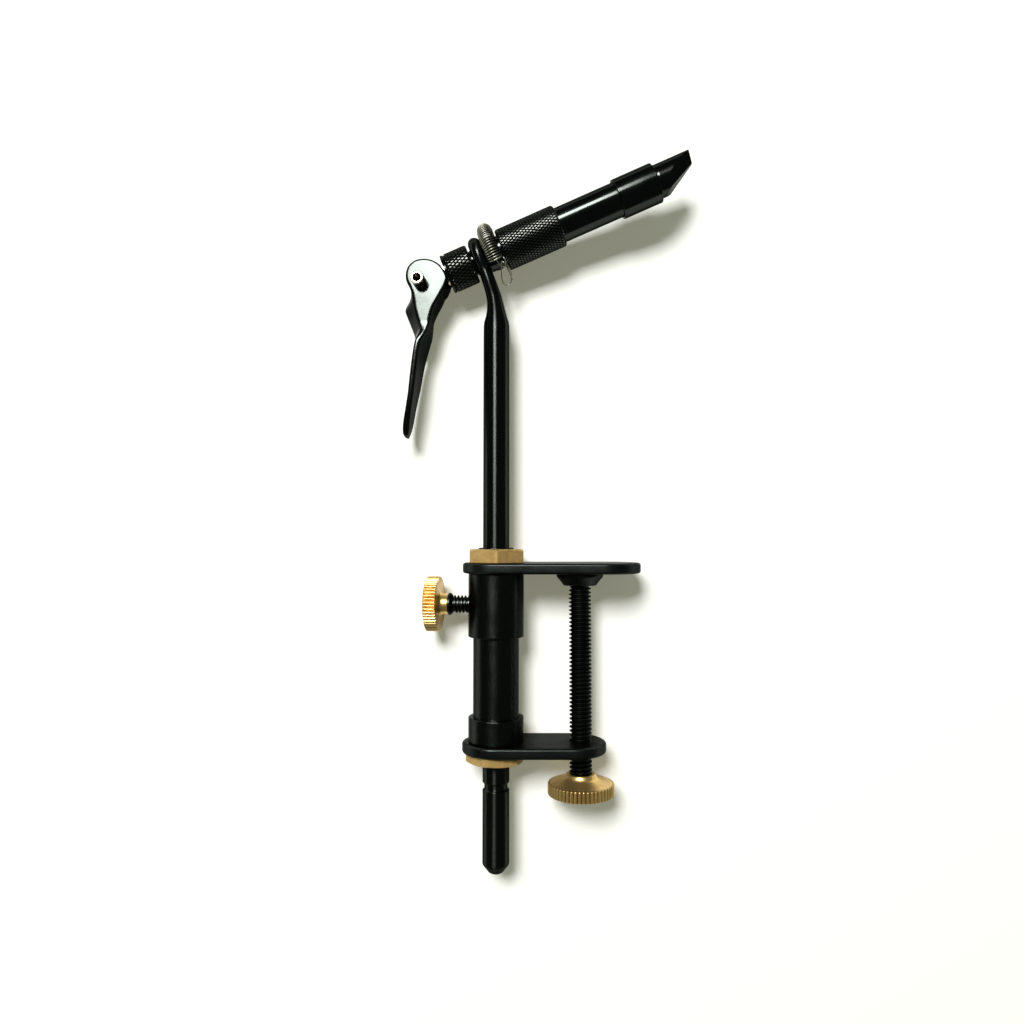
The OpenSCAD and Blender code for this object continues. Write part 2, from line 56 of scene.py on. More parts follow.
# Main places: the stem's axis, the two plates, the eye and what stands along the barrel. The
# thread depth is a share of the pitch
REACH = 30.0
THROAT = 59.0
PLATE_T = 3.8
STEM_R = 4.7625
LOCK_DROP = 11.1
LOCK_TURN = radians(6.6)
SWIVEL = radians(6)
TILT = radians(22.3)
BARREL_BACK = 17.4
BARREL_HEIGHT = 110.3
EYE_REAR = 10.0
EYE_T = 4.8
EYE_R = 8.5
SPRING_PLACE = 17.95
PIN_PLACE = -11.15
THREAD_DEPTH = 0.6
ROD_TOP = 88.0
GRIP_REAR = 21

AT_WORLD = Matrix.Identity(4)
AT_STEM = Matrix.Translation((-REACH, 0, 0))
AT_LOCK = (Matrix.Translation((-REACH, 0, -LOCK_DROP)) @ Matrix.Rotation(-LOCK_TURN, 4, "Z")
           @ Matrix.Rotation(-pi / 2, 4, "Y"))
AT_SWIVEL = AT_STEM @ Matrix.Rotation(-SWIVEL, 4, "Z")
AT_BARREL = (AT_SWIVEL @ Matrix.Translation((-BARREL_BACK, 0, BARREL_HEIGHT))
             @ Matrix.Rotation(pi / 2 - TILT, 4, "Y"))
AT_PIN = AT_BARREL @ Matrix.Translation((0, 0, PIN_PLACE)) @ Matrix.Rotation(TILT - pi / 2, 4, "Y")


# Properties for real numbers, whole numbers and sRGB hex colours
def number(name, description, default, low, high, **more):
    return bpy.props.FloatProperty(
        name=name, description=description, default=default, min=low, max=high, **more)


def whole(name, description, default, low, high):
    return bpy.props.IntProperty(
        name=name, description=description, default=default, min=low, max=high)


def hex_value(name, description, default):
    return bpy.props.StringProperty(name=name, description=description, default=default)


class ViseSizes(bpy.types.PropertyGroup):
    """Threads, knurls and springs, which the fixed frame leaves plain."""

    clamp_pitch: number(
        "Clamp thread pitch", "Rise of the clamp screw for one turn, mm", 1.411, 0.8, 2)
    lock_pitch: number("Lock thread pitch", "Rise of the lock screw for one turn, mm", 1.27, 0.7, 1.6)
    barrel_pitch: number(
        "Barrel thread pitch", "Rise of the rear thread for one turn, mm", 1, 0.5, 1.5)
    knob_teeth: whole("Knob teeth", "Straight knurl ridges round each brass knob", 50, 24, 90)
    knob_tooth_depth: number("Knob tooth depth", "Depth of the straight knurl, mm", 0.55, 0.1, 0.7)
    grip_diamonds: whole("Grip diamonds", "Diamonds round the knurled grip", 42, 20, 70)
    adjuster_diamonds: whole("Adjuster diamonds", "Diamonds round the adjuster nut", 34, 16, 60)
    diamond_depth: number("Diamond depth", "Depth of the diamond knurl's grooves, mm", 0.38, 0.1, 0.6)
    spring_turns: whole("Spring turns", "Curls of the material spring round the barrel", 46, 20, 50)
    spring_wire: number("Spring wire", "Wire diameter of the material spring, mm", 0.47, 0.3, 0.48)


class ViseColours(bpy.types.PropertyGroup):
    """Colours of the finishes, as sRGB hex values."""

    black: hex_value("Black", "Chemically blackened steel", "#2c2f2d")
    worn_black: hex_value("Worn black", "Blackened steel where hands and tools rub it", "#6e706a")
    brass: hex_value("Brass", "Clean turned brass", "#e6c27a")
    dull_brass: hex_value("Dull brass", "Brass with a skin of tarnish", "#7d5219")
    bright_steel: hex_value("Bright steel", "Plain ground steel", "#dccfb8")
    spring_steel: hex_value("Spring steel", "Drawn spring wire", "#bab8a6")
    # Painted shade: dark colour painted on the inside of the spring's curls, and mixed in by half on
    # the return spring
    curl_shade: hex_value("Curl shade", "Oil and dirt inside the spring's curls", "#14130f")
    backdrop: hex_value("Backdrop", "White sheet that the vise lies on", "#f4f4f1")
    sheet_lift: hex_value("Sheet lift", "Tint that the sheet's shadows take", "#fffbdc")
    room: hex_value("Room", "Colour of the room's light", "#dcf5e4")


class ViseStage(bpy.types.PropertyGroup):
    """Backdrop, light and camera."""

    sheet_gap: number("Sheet gap", "From the stem's axis back to the sheet, mm", 13, 12, 60)
    sheet_glow: number("Sheet glow", "White that the sheet shows besides its light", 0.2, 0, 1)
    camera_distance: number(
        "Camera distance", "From the camera to the stem's plane, mm", 288.77, 200, 800)
    camera_height: number("Camera height", "Height over the upper plate's foot, mm", 12, -50, 80)
    camera_pitch: number(
        "Camera pitch", "Upward tilt of the camera", radians(3.8), -1.5, 1.5,
        subtype="ANGLE", unit="ROTATION")
    frame_shift: number("Frame shift", "Shift as a share of the picture's width", -0.0249, -0.5, 0.5)
    key_light: number("Key light", "Brightness of the window, where 1 is white", 40, 0, 200)
    room_light: number("Room light", "Brightness of the room, where 1 is white", 0.1, 0, 2)


def linear(hex_colour):
    """Linear RGBA of an sRGB hex colour."""
    made = []
    for start in (1, 3, 5):
        value = int(hex_colour[start:start + 2], 16) / 255
        made.append(value / 12.92 if value <= 0.04045 else ((value + 0.055) / 1.055) ** 2.4)
    return (*made, 1.0)


def tone(name):
    """Linear RGBA of one of the scene's colours."""
    return linear(getattr(bpy.context.scene.vise_colours, name))


def grain(size_mm):
    """Texture scale at which one cell of the pattern measures the given size."""
    return 1 / (size_mm * MM)


def add_node(tree, kind, sockets=None, **settings):
    """Adds a shader node, sets its properties, and gives its sockets values or links."""
    node = tree.nodes.new("ShaderNode" + kind)
    for name, value in settings.items():
        setattr(node, name, value)
    for name, value in (sockets or {}).items():
        if isinstance(value, bpy.types.NodeSocket):
            tree.links.new(value, node.inputs[name])
        else:
            node.inputs[name].default_value = value
    return node


def add_math(tree, operation, *values, clamp=False):
    """Result of a Math node over values or links."""
    node = add_node(tree, "Math", dict(enumerate(values)), operation=operation, use_clamp=clamp)
    return node.outputs[0]


def add_noise(tree, place, size_mm, detail, roughness):
    """Value of a cloudy pattern whose cells have the given size."""
    node = add_node(tree, "TexNoise", {
        "Vector": place, "Scale": grain(size_mm), "Detail": detail, "Roughness": roughness})
    return node.outputs["Fac"]


def add_spread(tree, value, low, high, start=0.3, end=0.7):
    """Value whose range from start to end is stretched to the range from low to high."""
    node = add_node(tree, "MapRange", {
        "Value": value, "From Min": start, "From Max": end, "To Min": low, "To Max": high})
    return node.outputs[0]


def add_blend(tree, share, first, second):
    """Colour that goes from the first to the second as the share grows."""
    node = add_node(tree, "Mix", {0: share, 6: first, 7: second}, data_type="RGBA")
    return node.outputs[2]


def add_metal(tree, colour, metallic, roughness, height, relief_mm, extra=()):
    """Metal shader with a relief as deep as given where the height is 1, and extra sockets."""
    relief = add_node(tree, "Bump", {
        "Height": height, "Strength": 1.0, "Distance": relief_mm * MM})
    return add_node(tree, "BsdfPrincipled", {
        "Base Color": colour, "Metallic": metallic, "Roughness": roughness,
        "Normal": relief.outputs[0], **dict(extra)})


def new_finish(name):
    """Empty node material and its tree."""
    finish = bpy.data.materials.new(name)
    finish.use_nodes = True
    finish.node_tree.nodes.clear()
    return finish, finish.node_tree


def new_metal(name):
    """Empty node material, its tree, the object coordinates for patterns and the value of wear, which
    on the springs stands for painted shade instead.
    """
    finish, tree = new_finish(name)
    place = add_node(tree, "TexCoord").outputs["Object"]
    wear_and_shade = add_node(tree, "Attribute", attribute_name="wear_and_shade").outputs["Fac"]
    return finish, tree, place, wear_and_shade


def finish_with(tree, shader):
    add_node(tree, "OutputMaterial", {"Surface": shader.outputs[0]})


def blackened_steel(name, roughness, roughness_spread, grain_mm, relief_mm, rub, turned_share=0):
    """Steel with a black oxide or paint skin. It reads as deep black with a slight green cast. Fine
    grain breaks its highlights up, and the skin is rubbed to grey where the "worn" value is high.
    The fine rings of turned pieces draw each highlight out along the axis."""
    finish, tree, place, wear_and_shade = new_metal(name)
    fine = add_noise(tree, place, grain_mm, 3.0, 0.6)
    cloudy = add_noise(tree, place, 7, 2.0, 0.5)
    speck = add_spread(tree, fine, 0.2, 1.0, 0.45, 0.62)
    rubbed = add_math(tree, "MULTIPLY", wear_and_shade, speck)
    share = add_math(tree, "MULTIPLY", rubbed, rub)
    colour = add_blend(tree, share, tone("black"), tone("worn_black"))
    sheen = add_spread(tree, cloudy, roughness, roughness + roughness_spread)
    extra = {"Specular Tint": (0.4, 0.4, 0.4, 1)}
    if turned_share:
        ring = add_node(tree, "Tangent", direction_type="RADIAL", axis="Z")
        quarter_turn = 0.25
        extra |= {"Tangent": ring.outputs[0], "Anisotropic": turned_share,
                  "Anisotropic Rotation": quarter_turn}
    finish_with(tree, add_metal(tree, colour, 1.0, sheen, fine, relief_mm, extra))
    return finish


def turned_brass(name, tarnish, ring_mm, roughness, bare):
    """Free-cutting brass turned on a lathe. It is warm yellow with bright and brown bands, faint
    turning rings round its axis, and brown tarnish in patches and in the roots of the teeth. Where
    it isn't bare, a dull skin scatters the light."""
    finish, tree, place, wear_and_shade = new_metal(name)
    patches = add_noise(tree, place, 2.2, 5.0, 0.65)
    split = add_node(tree, "SeparateXYZ", {"Vector": place})
    flat = add_node(tree, "CombineXYZ", {"X": split.outputs["X"], "Y": split.outputs["Y"]})
    far = add_node(tree, "VectorMath", {0: flat.outputs[0]}, operation="LENGTH")
    out = add_math(tree, "ADD", far.outputs["Value"], split.outputs["Z"])
    rings = add_node(tree, "TexNoise", {
        "W": out, "Scale": grain(ring_mm), "Detail": 2.0, "Roughness": 0.7}, noise_dimensions="1D")
    dull = add_spread(tree, patches, 0.0, 1.0, 0.4, 0.66)
    root = add_math(tree, "SUBTRACT", 0.85, wear_and_shade, clamp=True)
    share = add_math(tree, "MULTIPLY_ADD", dull, tarnish, root, clamp=True)
    colour = add_blend(tree, share, tone("brass"), tone("dull_brass"))
    rough = add_spread(tree, patches, roughness, roughness + 0.14)
    finish_with(tree, add_metal(tree, colour, bare, rough, rings.outputs["Fac"], 0.006))
    return finish


def drawn_steel(name, colour, roughness, line_mm, inner_shade=0.0):
    """Drawn or ground steel without a coat. It is a neutral bright grey with fine lines. A painted
    shade colour darkens it where its wear and shade value is low, as far as the inner shade share asks."""
    finish, tree, place, wear_and_shade = new_metal(name)
    lines = add_noise(tree, place, line_mm, 3.0, 0.6)
    bright = tone(colour)
    dark = tuple(value * 0.55 for value in bright[:3]) + (1.0,)
    clean = add_blend(tree, lines, bright, dark)
    # Painted shade: the shade colour darkens the steel where the wear value is low, by the inner shade
    # share
    share = add_spread(tree, wear_and_shade, inner_shade, 0.0, 0, 1)
    shade = add_blend(tree, share, clean, tone("curl_shade"))
    rough = add_spread(tree, lines, roughness, roughness + 0.15, 0, 1)
    finish_with(tree, add_metal(tree, shade, 1.0, rough, lines, 0.004))
    return finish


@cache
def finishes():
    """All finishes by name, each made once."""
    return {
        # Forged and painted parts of the clamp: soft sheen with visible grain
        "painted": blackened_steel("black_painted_steel", 0.3, 0.08, 0.4, 0.05, 0.25),
        # Column of the clamp: turned, then painted
        "turned_paint": blackened_steel("black_painted_turned_steel", 0.18, 0.05, 0.6, 0.09, 0.25, 0.8),
        # Ground rod of the stem: smooth black oxide with one long highlight
        "rod": blackened_steel("black_ground_rod", 0.25, 0.04, 0.3, 0.006, 0.15, 0.97),
        # Forged eye and thrust washer: smooth black oxide with a crisp highlight
        "oiled": blackened_steel("black_oiled_steel", 0.2, 0.05, 0.3, 0.004, 0.15, 0.85),
        # Barrel, jaws and lever: polished before blackening, so it mirrors the light
        "polished": blackened_steel("black_polished_steel", 0.13, 0.05, 0.25, 0.003, 0.1),
        # Cut threads: black all over, with a faint rub on the crests
        "cut": blackened_steel("black_threaded_steel", 0.26, 0.1, 0.2, 0.006, 0.3),
        # Knurls: black in the grooves, rubbed bright on the diamonds
        "knurled": blackened_steel("black_knurled_steel", 0.24, 0.1, 0.2, 0.006, 0.8),
        # Knobs: bright turned brass that mirrors the window
        "knob_brass": turned_brass("turned_brass", 0.22, 0.12, 0.28, 0.9),
        # Hexagon bar left as it came, so it is duller and browner than the knobs
        "nut_brass": turned_brass("hexagon_bar_brass", 0.25, 0.4, 0.46, 0.45),
        # Pin and draw rod: bright and plain
        "bright": drawn_steel("bright_ground_steel", "bright_steel", 0.18, 0.3),
        # Both springs: dull grey wire. Painted shade darkens the inside of the garter spring's curls,
        # and the same dark colour darkens the return spring by half all over
        "spring": drawn_steel("drawn_spring_steel", "spring_steel", 0.34, 0.25, inner_shade=1.0),
    }


def rounded(corners, steps=5):
    """Outline through (radius, place, cut) corners, rounded over the cut length where one is
    given."""
    made = []
    for i, (radius, place, *cut) in enumerate(corners):
        here = np.array([radius, place], float)
        if not cut:
            made.append(here)
            continue
        ends = []
        for other in (corners[i - 1], corners[(i + 1) % len(corners)]):
            way = np.array(other[:2], float) - here
            ends.append(here + way / np.linalg.norm(way) * cut[0])
        for u in np.linspace(0, 1, steps):
            made.append((1 - u) ** 2 * ends[0] + 2 * u * (1 - u) * here + u * u * ends[1])
    return np.array(made)


def smooth_curve(points, steps):
    """Smooth open curve through the points."""
    points = np.array(points, float)
    padded = [points[0], *points, points[-1]]
    made = []
    for a, b, c, d in zip(padded, padded[1:], padded[2:], padded[3:]):
        for u in np.arange(steps) / steps:
            made.append(0.5 * (2 * b + (c - a) * u + (2 * a - 5 * b + 4 * c - d) * u ** 2
                               + (3 * b - 3 * c + d - a) * u ** 3))
    made.append(points[-1])
    return np.array(made)


def skin(grid, rows_closed=False):
    """Quads over a grid of points whose columns close round: (points, faces)."""
    rows, columns = grid.shape[:2]
    index = np.arange(rows * columns).reshape(rows, columns)
    upper = np.roll(index, -1, axis=0)
    lower = index
    if not rows_closed:
        lower = index[:-1]
        upper = upper[:-1]
    quads = np.stack([lower, np.roll(lower, -1, axis=1), np.roll(upper, -1, axis=1), upper], -1)
    return grid.reshape(-1, 3), quads.reshape(-1, 4).tolist()


def loft(rings):
    """Skin over rings of points, closed by a flat face at both ends."""
    points, faces = skin(np.array(rings))
    count = len(rings[0])
    faces.append(list(range(count))[::-1])
    faces.append([len(points) - count + k for k in range(count)])
    return points, faces


def around(radius, angle, place):
    """Points round Z from their radius, angle and place along it."""
    return np.stack(np.broadcast_arrays(radius * np.cos(angle), radius * np.sin(angle), place), -1)


def turned(profile, segments=96, shape=None):
    """Solid of revolution round Z. An outline that starts on the axis is left open there. The
    shape function may change the radii from one angle to the next."""
    angle = np.arange(segments) * tau / segments
    radius = profile[:, :1]
    if shape:
        radius = shape(radius, angle)
    return skin(around(radius, angle, profile[:, 1:]), rows_closed=profile[0][0] > 0)


def moved(shape, way):
    """A (points, faces) shape moved by a matrix."""
    points, faces = shape
    return points @ np.array(way.to_3x3()).T + np.array(way.translation), faces


def joined(*shapes):
    """Several (points, faces) shapes as one."""
    points = []
    faces = []
    count = 0
    for some_points, some_faces in shapes:
        points.append(some_points)
        faces += [[count + k for k in face] for face in some_faces]
        count += len(some_points)
    return np.concatenate(points), faces


def tube(path, wire_r, sides=10):
    """Round wire along a path, closed by a rounded end at both ends."""
    path = np.array(path, float)
    ways = np.gradient(path, axis=0)
    ways /= np.linalg.norm(ways, axis=1)[:, None]
    side = np.cross(ways[0], [0.3, 0.5, 0.8])
    turn = np.arange(sides)[:, None] * tau / sides
    rings = []
    for centre, way in zip(path, ways):
        side = side - (side @ way) * way
        side /= np.linalg.norm(side)
        other = np.cross(way, side)
        rings.append(centre + wire_r * (np.cos(turn) * side + np.sin(turn) * other))
    caps = []
    for end, way in ((0, -ways[0]), (-1, ways[-1])):
        middle = path[end]
        for back, share in ((0.6, 0.8), (1.0, 0.001)):
            caps.append(middle + (rings[end] - middle) * share + way * wire_r * back)
    return skin(np.array([caps[1], caps[0], *rings, caps[2], caps[3]]))


# One turn of a vee thread: share of the pitch, and height as a share of the depth
THREAD_STEPS = ((0, 0), (0.1, 0), (0.25, 0.5), (0.39, 1), (0.61, 1), (0.75, 0.5),
                (0.9, 0))


def helical_thread(low, high, outer_r, pitch, depth, segments=48):
    """Vee thread whose rows follow the helix, with a small chamfer at both ends."""
    lag = len(THREAD_STEPS)
    turns = ceil((high - low) / pitch) + 3
    angle = np.arange(segments) * tau / segments
    rows = np.array([(turn + share, height)
                     for turn in range(turns) for share, height in THREAD_STEPS])
    place = low + pitch * (rows[:, :1] - 1.5 + angle / tau)
    root_r = outer_r - depth
    radius = outer_r - depth * (1 - rows[:, 1:])
    radius = np.minimum(radius, root_r + np.maximum(place - low, 0))
    radius = np.minimum(radius, root_r + np.maximum(high - place, 0))
    index = np.arange(len(rows) * segments).reshape(len(rows), segments)
    quads = np.stack([index[:-1, :-1], index[:-1, 1:], index[1:, 1:], index[1:, :-1]], -1)
    # A row ends where the row one turn later begins
    seam = np.stack([index[:-lag - 1, -1], index[lag:-1, 0], index[lag + 1:, 0],
                     index[1:-lag, -1]], -1)
    faces = quads.reshape(-1, 4).tolist() + seam.tolist()
    return around(radius, angle, place).reshape(-1, 3), faces


def straight_knurl(outer_r, teeth, depth):
    """Shape function for rounded ridges along the axis."""
    def shape(radius, angle):
        groove = np.abs(np.sin(angle * teeth / 2)) ** 1.1
        return np.minimum(radius, outer_r - depth * (1 - groove))
    return shape


def diamond_sleeve(inner_r, rear, front, outer_r, count, depth):
    """Sleeve whose outside is cut with crossing grooves: (points, faces, wear). Its faces follow
    the grooves, so each diamond is a clean pyramid."""
    chamfer = 0.5
    fine = 4
    columns = count * 2 * fine
    stretch = 1.85
    steepness = 1.9
    length = tau * outer_r / count * stretch
    half_rows = max(2, round((front - rear) / (length / 2)))
    step = (front - rear) / (half_rows * fine)
    i = np.arange(columns)
    j = np.arange(half_rows * fine + 1)[:, None]
    along = j / (2 * fine)
    round_it = i / (2 * fine)
    first = np.abs((round_it + along) % 1 - 0.5)
    second = np.abs((round_it - along) % 1 - 0.5)
    height = np.minimum(1, (1 - 2 * np.maximum(first, second)) * steepness)
    place = rear + j * step
    edge = np.minimum(place - rear, front - place)
    radius = np.minimum(outer_r - depth * (1 - height), outer_r - chamfer + edge)
    angle = i * tau / columns
    inner = [around(inner_r, angle, front), around(inner_r, angle, rear)]
    points, faces = skin(np.array([*around(radius, angle, place), *inner]), rows_closed=True)
    cut = []
    for number, (a, b, c, d) in enumerate(faces):
        row, column = divmod(number, columns)
        if row >= len(j) - 1:
            cut.append([a, b, c, d])
        elif (row // fine + column // fine) % 2:
            cut += [[a, b, d], [b, c, d]]
        else:
            cut += [[a, b, c], [a, c, d]]
    wear_and_shade = np.concatenate([height.ravel() ** 3, np.zeros(len(points) - height.size)])
    return points, cut, wear_and_shade


def slab(outline, low, high, rounding, steps=5):
    """Flat plate from a closed outline, its rims rounded, with a narrow flat band inside them."""
    outline = np.array(outline, float)
    ahead = np.roll(outline, -1, axis=0) - np.roll(outline, 1, axis=0)
    normal = ahead[:, ::-1] * (1, -1)
    normal /= np.linalg.norm(normal, axis=1)[:, None]
    turn = np.linspace(-pi / 2, pi / 2, 2 * steps)
    inset = rounding * (1 - np.cos(turn))
    height = np.where(turn < 0, low + rounding, high - rounding) + rounding * np.sin(turn)
    band = rounding * 1.6
    return loft([np.column_stack([outline - normal * a, np.full(len(outline), z)])
                 for a, z in [(band, low), *zip(inset, height), (band, high)]])


def two_circle_outline(x1, r1, x2, r2, steps=40):
    """Outline round two circles with straight sides between them, counter-clockwise."""
    lean = asin((r2 - r1) / (x2 - x1))
    front = np.linspace(-pi / 2 - lean, pi / 2 + lean, steps)
    rear = np.linspace(pi / 2 + lean, 3 * pi / 2 - lean, steps)
    made = [(x2 + r2 * cos(t), r2 * sin(t)) for t in front]
    made += [(x1 + r1 * cos(t), r1 * sin(t)) for t in rear]
    return made


def set_wear_and_shade(mesh, wear_and_shade=0.5):
    """Sets how rubbed a mesh is, or on the springs how far out of the painted shade: one value, or one
    for each point.
    """
    attribute = mesh.attributes.get("wear_and_shade") or mesh.attributes.new("wear_and_shade", "FLOAT", "POINT")
    attribute.data.foreach_set("value", np.full(len(mesh.vertices), wear_and_shade, np.float32))


def as_mesh(name, shape, wear_and_shade=0.5, cuts=()):
    """Mesh data of a (points, faces) shape in metres, closed up, cut by planes (point, way) whose
    far side is taken off, and with its faces turned outwards."""
    points, faces = shape
    mesh = bpy.data.meshes.new(name)
    mesh.from_pydata((points * MM).tolist(), [], faces)
    set_wear_and_shade(mesh, wear_and_shade)
    body = bmesh.new()
    body.from_mesh(mesh)
    bmesh.ops.remove_doubles(body, verts=body.verts, dist=1e-4 * MM)
    for point, way in cuts:
        bmesh.ops.bisect_plane(
            body, geom=[*body.verts, *body.edges, *body.faces], dist=1e-9,
            plane_co=Vector(point) * MM, plane_no=way, clear_outer=True)
        rim = [edge for edge in body.edges if edge.is_boundary]
        bmesh.ops.holes_fill(body, edges=rim, sides=0)
    loose = [vert for vert in body.verts if not vert.link_faces]
    bmesh.ops.delete(body, geom=loose, context="VERTS")
    bmesh.ops.recalc_face_normals(body, faces=body.faces)
    body.to_mesh(mesh)
    body.free()
    return mesh


def add_object(name, data):
    """Object for some data, linked to the scene."""
    item = bpy.data.objects.new(name, data)
    bpy.context.scene.collection.objects.link(item)
    return item


def evaluated(item):
    """Replaces an object's mesh by its modified form."""
    graph = bpy.context.evaluated_depsgraph_get()
    mesh = bpy.data.meshes.new_from_object(item.evaluated_get(graph))
    item.modifiers.clear()
    item.data = mesh


def bore(item, shape):
    """Takes a closed (points, faces) shape out of a piece and dresses it again."""
    finish = item.data.materials[0]
    tool = add_object("tool", as_mesh("tool", shape))
    cut = item.modifiers.new("cut", "BOOLEAN")
    cut.operation = "DIFFERENCE"
    cut.solver = "EXACT"
    cut.object = tool
    evaluated(item)
    bpy.data.objects.remove(tool)
    dress(item, finish)


def dress(item, finish, sharp=32):
    """Smooth shading but for edges sharper than the angle in degrees, and the finish."""
    mesh = item.data
    mesh.polygons.foreach_set("use_smooth", [True] * len(mesh.polygons))
    mesh.set_sharp_from_angle(angle=radians(sharp))
    mesh.materials.clear()
    mesh.materials.append(finish)
    weigh = item.modifiers.new("even_shading", "WEIGHTED_NORMAL")
    weigh.keep_sharp = True


def place_mesh(name, mesh, at, finish, body, nodes, sharp=32):
    """Piece for a finished mesh, with its finish, riding its body in place of its CAD nodes. The
    place matrix is in millimetres."""
    item = add_object(name, mesh)
    at = at.copy()
    at.translation *= MM
    item.matrix_world = at
    dress(item, finishes()[finish], sharp)
    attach(item, body)
    if nodes:
        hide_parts(*nodes)
    return item


def place_piece(name, shape, at, finish, body, nodes, wear_and_shade=0.5, cuts=(), sharp=32):
    """Piece for a (points, faces) shape, as in as_mesh and place_mesh."""
    mesh = as_mesh(name, shape, wear_and_shade, cuts)
    return place_mesh(name, mesh, at, finish, body, nodes, sharp)


def turned_piece(name, corners, at, finish, body, nodes, segments=96):
    """Piece turned from an outline of (radius, place, cut) corners."""
    return place_piece(name, turned(rounded(corners), segments), at, finish, body, nodes)


def thread_piece(name, low, high, root_r, outer_r, pitch, depth, at, body, nodes):
    """Thread with flat ends, more and more rubbed from the root radius outwards."""
    shape = helical_thread(low, high, outer_r, pitch, depth)
    wear_and_shade = worn_by_radius(shape[0], root_r, outer_r)
    ends = [((0, 0, low), (0, 0, -1)), ((0, 0, high), (0, 0, 1))]
    return place_piece(name, shape, at, "cut", body, nodes, wear_and_shade, ends)


def knob_piece(name, corners, outer_r, inside, at, body, nodes):
    """Brass knob with straight ridges round its rim. The inside value is how clean the rest is."""
    sizes = bpy.context.scene.vise_sizes
    knurl = straight_knurl(outer_r, sizes.knob_teeth, sizes.knob_tooth_depth)
    shape = turned(rounded(corners, 6), sizes.knob_teeth * 10, knurl)
    wear_and_shade = worn_by_radius(shape[0], outer_r - 0.55, outer_r - 0.15, inside)
    place_piece(name, shape, at, "knob_brass", body, nodes, wear_and_shade)


def knurled_piece(name, inner_r, rear, front, outer_r, count, depth, body, nodes):
    """Diamond-knurled sleeve on the barrel's axis."""
    points, faces, wear_and_shade = diamond_sleeve(inner_r, rear, front, outer_r, count, depth)
    place_piece(name, (points, faces), AT_BARREL, "knurled", body, nodes, wear_and_shade, sharp=12)


def worn_by_radius(points, low, high, inside=0):
    """How rubbed each point is, from its distance to the axis. Points well inside the low radius
    get the inside value."""
    far = np.hypot(points[:, 0], points[:, 1])
    return np.where(far < low - 0.15, inside, np.clip((far - low) / (high - low), 0, 1))


def settle(item):
    """Turns a piece's mesh into the part's own frame, so that its outer box is its true one."""
    item.data.transform(item.matrix_world)
    item.matrix_world = AT_WORLD


def cylinder_cutter(radius, low, high, segments=64):
    return turned(np.array([[0, low], [radius, low], [radius, high], [0, high]], float), segments)


class VISE_OT_clamp_frame(bpy.types.Operator):
    """Column, both plates and both hexagon nuts."""

    bl_idname = "vise.clamp_frame"
    bl_label = "Clamp frame"

    def execute(self, context):
        low = -THROAT - PLATE_T
        spigot = low - 4.1
        column = turned_piece("column", [
            (4.82, 9.1, 0.2), (6.35, 9.1, 0.4), (6.35, 0), (9.95, 0, 0.35), (9.95, -22.5, 0.45),
            (8.2, -22.5, 0.15), (8.2, -50.5, 0.15), (9.85, -50.5, 0.45), (9.85, -THROAT, 0.35),
            (6.35, -THROAT), (6.35, spigot, 0.4), (4.82, spigot, 0.2)],
            AT_STEM, "turned_paint", "clamp", ["clamp_column"])
        lock_hole = cylinder_cutter(3.25, 2, 12, 48)
        bore(column, moved(lock_hole, AT_STEM.inverted() @ AT_LOCK))

        for name, nose, nose_r, foot in (("upper_plate", 7.8, 14, 0), ("lower_plate", -3, 12, low)):
            outline = two_circle_outline(-REACH, 12, nose, nose_r)
            plate = place_piece(name, slab(outline, foot, foot + PLATE_T, 1.0), AT_WORLD, "painted",
                                "clamp", [name])
        screw_hole = cylinder_cutter(4.0, -70, -50)
        bore(plate, screw_hole)

        for name, place, flip, turn, thickness in (
                ("top_nut", PLATE_T, 0, radians(32.5), 4.8),
                ("bottom_nut", low, pi, radians(-13.5), 3.3)):
            at = (AT_STEM @ Matrix.Translation((0, 0, place)) @ Matrix.Rotation(flip, 4, "Y")
                  @ Matrix.Rotation(turn, 4, "Z"))
            place_piece(name, hexagon_nut(thickness), at, "nut_brass", "clamp", [name])
        return {"FINISHED"}


def hexagon_nut(thickness, across=19.05, bore_r=6.4):
    """Thin nut: a hexagon whose outer face is turned to a cone, which leaves curved corners."""
    angle = np.linspace(0, tau, 144, endpoint=False)
    from_flat = (angle % (tau / 6)) - tau / 12
    side_r = np.minimum(across / 2 / np.cos(from_flat), across / 2 / cos(tau / 12) - 0.12)
    face_r = across / 2 - 0.3
    cone = thickness - (side_r - face_r) * 0.38
    rows = [
        (bore_r, 0.3), (bore_r + 0.3, 0), (side_r - 0.15, 0), (side_r, 0.15), (side_r, cone - 0.12),
        (side_r - 0.12, cone + 0.03), (face_r, thickness), (bore_r + 0.35, thickness),
        (bore_r, thickness - 0.35)]
    return skin(np.array([around(r, angle, z) for r, z in rows]), rows_closed=True)


